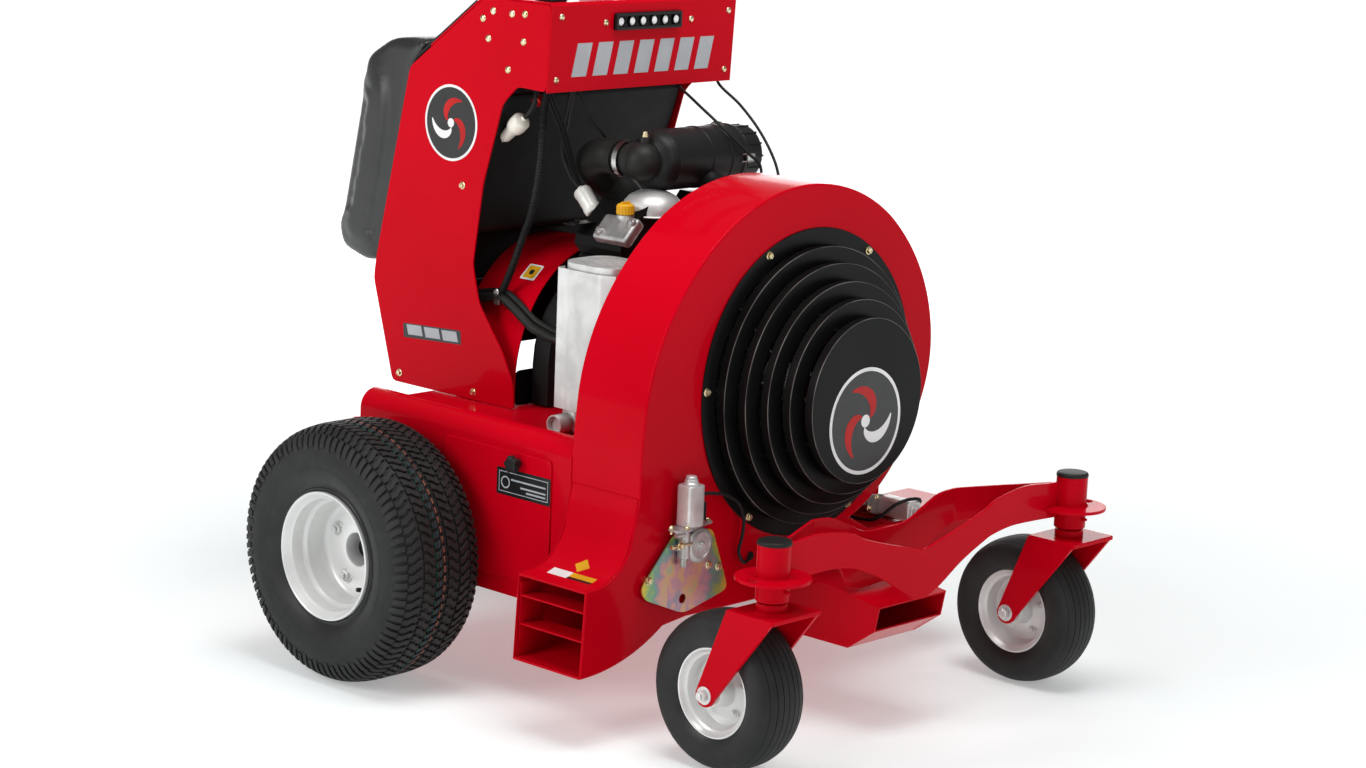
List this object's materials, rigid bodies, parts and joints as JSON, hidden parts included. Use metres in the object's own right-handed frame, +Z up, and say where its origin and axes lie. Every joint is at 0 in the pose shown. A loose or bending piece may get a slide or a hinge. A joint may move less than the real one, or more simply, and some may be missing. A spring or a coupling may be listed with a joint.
{
  "type": "stand-on leaf blower",
  "caption": "Ride-on centrifugal leaf blower: scroll housing with stepped intake, engine, control tower with thigh pad, drive wheels and swivel casters.",
  "frame": {"origin": "on the floor, in the middle of the machine's width and length", "axes": "+Z up; -Y towards the front, where the casters are; +X towards the operator's left"},
  "size_m": [1.289, 1.5, 1.355],
  "materials": {
    "red_paint": "glossy red powder coat",
    "black_paint": "satin black powder coat",
    "silver_paint": "silver wheel paint",
    "zinc": "yellow zinc plate",
    "aluminium": "cast aluminium",
    "steel": "bright steel",
    "tyre_rubber": "tyre rubber",
    "black_plastic": "moulded black plastic",
    "vinyl": "black vinyl upholstery",
    "yellow_plastic": "yellow plastic"
  },
  "bodies": {
    "machine": {"access_cover": "red_paint", "air_cleaner": "black_plastic", "chassis_pan": "red_paint", "chassis_shell": "red_paint", "choke_cable": "black_plastic", "console_housing": "red_paint", "cylinder_left": "black_paint", "cylinder_right": "black_paint", "engine_crankcase": "aluminium", "engine_shroud": "black_plastic", "front_beam_front_plate": "red_paint", "front_beam_rear_plate": "red_paint", "front_chute": "red_paint", "front_handlebar": "black_paint", "fuel_tank": "black_plastic", "guard_arch": "red_paint", "housing_back_plate": "red_paint", "housing_floor": "red_paint", "housing_front_plate": "red_paint", "housing_wrap": "red_paint", "hydraulic_pump": "aluminium", "intake_grille": "black_paint", "intake_hose": "black_plastic", "left_actuator": "zinc", "muffler": "silver_paint", "right_actuator": "zinc", "right_discharge_louvers": "red_paint", "spindle_housing_left": "red_paint", "spindle_housing_right": "red_paint", "thigh_pad": "vinyl", "throttle_cable": "black_plastic", "tower_panel_left": "red_paint", "tower_panel_right": "red_paint", "tower_rear_panel": "black_paint", "wheel_motor_left": "black_paint", "wheel_motor_right": "black_paint"},
    "right_rear_wheel": {"rear_rim_right": "silver_paint", "rear_tyre_right": "tyre_rubber"},
    "left_rear_wheel": {"rear_rim_left": "silver_paint", "rear_tyre_left": "tyre_rubber"},
    "right_caster_fork": {"caster_fork_right": "red_paint"},
    "left_caster_fork": {"caster_fork_left": "red_paint"},
    "right_caster_wheel": {"caster_rim_right": "silver_paint", "caster_tyre_right": "tyre_rubber"},
    "left_caster_wheel": {"caster_rim_left": "silver_paint", "caster_tyre_left": "tyre_rubber"},
    "fan_rotor": {"impeller": "steel", "crankshaft": "steel"},
    "right_gate": {"right_deflector": "red_paint"},
    "left_vane": {"left_deflector": "black_paint"},
    "right_drive_lever": {"drive_lever_right": "black_paint"},
    "left_drive_lever": {"drive_lever_left": "black_paint"},
    "throttle": {"throttle_lever": "steel"},
    "choke": {"choke_knob": "black_plastic"},
    "key": {"ignition_key": "steel"},
    "joystick": {"deflector_joystick": "black_plastic"},
    "fuel_filler_cap": {"fuel_cap": "black_plastic"},
    "oil_cap": {"oil_fill_cap": "yellow_plastic"},
    "cover_knob": {"access_knob": "black_plastic"},
    "platform": {"operator_platform": "black_paint"}
  },
  "joints": [
    {"name": "right_rear_wheel_spin", "type": "hinge", "parent": "machine", "child": "right_rear_wheel", "pos_m": [-0.547, 0.217, 0.2414], "axis": [1, 0, 0], "continuous": true},
    {"name": "right_caster_swivel", "type": "hinge", "parent": "machine", "child": "right_caster_fork", "pos_m": [-0.4167, -0.684, 0.3], "axis": [0, 0, 1], "continuous": true},
    {"name": "right_caster_roll", "type": "hinge", "parent": "right_caster_fork", "child": "right_caster_wheel", "pos_m": [-0.4167, -0.595, 0.1397], "axis": [1, 0, 0], "continuous": true},
    {"name": "right_drive_lever_tilt", "type": "hinge", "parent": "machine", "child": "right_drive_lever", "pos_m": [-0.11, 0.2, 1.2], "axis": [1, 0, 0], "range_deg": [-10, 15], "stiffness_Nm_per_rad": 8},
    {"name": "left_rear_wheel_spin", "type": "hinge", "parent": "machine", "child": "left_rear_wheel", "pos_m": [0.547, 0.217, 0.2414], "axis": [1, 0, 0], "continuous": true},
    {"name": "left_caster_swivel", "type": "hinge", "parent": "machine", "child": "left_caster_fork", "pos_m": [0.4167, -0.684, 0.3], "axis": [0, 0, 1], "continuous": true},
    {"name": "left_caster_roll", "type": "hinge", "parent": "left_caster_fork", "child": "left_caster_wheel", "pos_m": [0.4167, -0.595, 0.1397], "axis": [1, 0, 0], "continuous": true},
    {"name": "left_drive_lever_tilt", "type": "hinge", "parent": "machine", "child": "left_drive_lever", "pos_m": [0.11, 0.2, 1.2], "axis": [1, 0, 0], "range_deg": [-10, 15], "stiffness_Nm_per_rad": 8},
    {"name": "fan_spin", "type": "hinge", "parent": "machine", "child": "fan_rotor", "pos_m": [0, -0.232, 0.591], "axis": [0, 1, 0], "continuous": true},
    {"name": "right_gate_turn", "type": "hinge", "parent": "machine", "child": "right_gate", "pos_m": [-0.304, -0.381, 0.338], "axis": [0, -1, 0], "range_deg": [0, 60]},
    {"name": "left_vane_turn", "type": "hinge", "parent": "machine", "child": "left_vane", "pos_m": [0.325, -0.2955, 0.285], "axis": [0, 0, 1], "range_deg": [-35, 35]},
    {"name": "throttle_tilt", "type": "hinge", "parent": "machine", "child": "throttle", "pos_m": [-0.18, 0.145, 1.264], "axis": [1, 0, 0], "range_deg": [-25, 25]},
    {"name": "choke_pull", "type": "slide", "parent": "machine", "child": "choke", "axis": [0, 0, 1], "range_m": [0, 0.025]},
    {"name": "key_turn", "type": "hinge", "parent": "machine", "child": "key", "pos_m": [0.195, 0.185, 1.251], "axis": [0, 0, 1], "range_deg": [0, 60]},
    {"name": "joystick_tilt", "type": "hinge", "parent": "machine", "child": "joystick", "pos_m": [0, 0.105, 1.261], "axis": [0, 1, 0], "range_deg": [-20, 20], "stiffness_Nm_per_rad": 0.3},
    {"name": "fuel_cap_turn", "type": "hinge", "parent": "machine", "child": "fuel_filler_cap", "pos_m": [0, 0.196, 1.251], "axis": [0, 0, 1], "range_deg": [0, 90]},
    {"name": "oil_cap_turn", "type": "hinge", "parent": "machine", "child": "oil_cap", "pos_m": [-0.15, -0.048, 0.868], "axis": [0, 0, 1], "range_deg": [0, 90]},
    {"name": "cover_knob_turn", "type": "hinge", "parent": "machine", "child": "cover_knob", "pos_m": [-0.4335, -0.078, 0.443], "axis": [1, 0, 0], "range_deg": [0, 180]},
    {"name": "platform_fold", "type": "hinge", "parent": "machine", "child": "platform", "pos_m": [0, 0.4345, 0.181], "axis": [1, 0, 0], "range_deg": [0, 85]}
  ]
}
